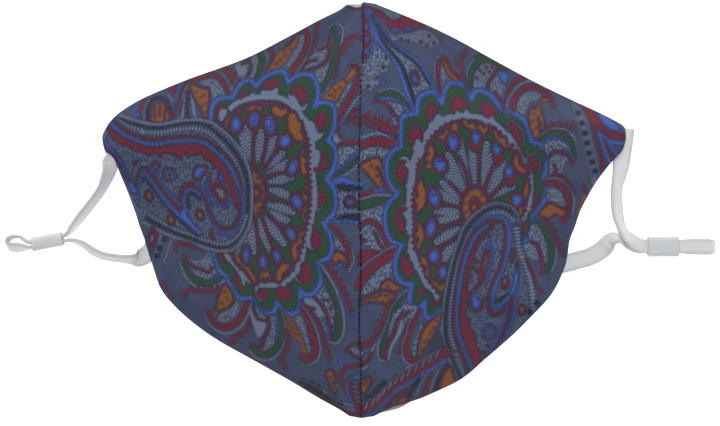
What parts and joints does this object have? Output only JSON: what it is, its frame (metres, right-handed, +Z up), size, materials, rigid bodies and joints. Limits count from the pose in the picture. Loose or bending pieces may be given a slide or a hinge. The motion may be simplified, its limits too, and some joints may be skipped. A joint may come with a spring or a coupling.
{
  "type": "cloth face mask",
  "caption": "Fitted cloth face mask lying face up: printed cotton panels meeting at a raised centre seam, cotton lining, flat elastic ear loops with adjusting beads.",
  "frame": {"origin": "centre of the mask's footprint on the table, leaving out the ear loops and their beads", "axes": "+X along the mask's wide way, to the right seen from the front; +Y towards the nose end; +Z up, out of the mask's face"},
  "size_m": [0.2363, 0.1291, 0.0799],
  "materials": {
    "printed_cotton": "matte printed weave",
    "lining_cotton": "matte plain weave",
    "white_elastic": "soft ribbed elastic",
    "soft_plastic": "soft translucent white"
  },
  "bodies": {
    "root": {"outer_panel_left": "printed_cotton", "outer_panel_right": "printed_cotton", "lining_left": "lining_cotton", "lining_right": "lining_cotton", "ear_loop_left": "white_elastic", "ear_loop_right": "white_elastic", "toggle_left": "soft_plastic", "toggle_right": "soft_plastic"}
  },
  "joints": []
}
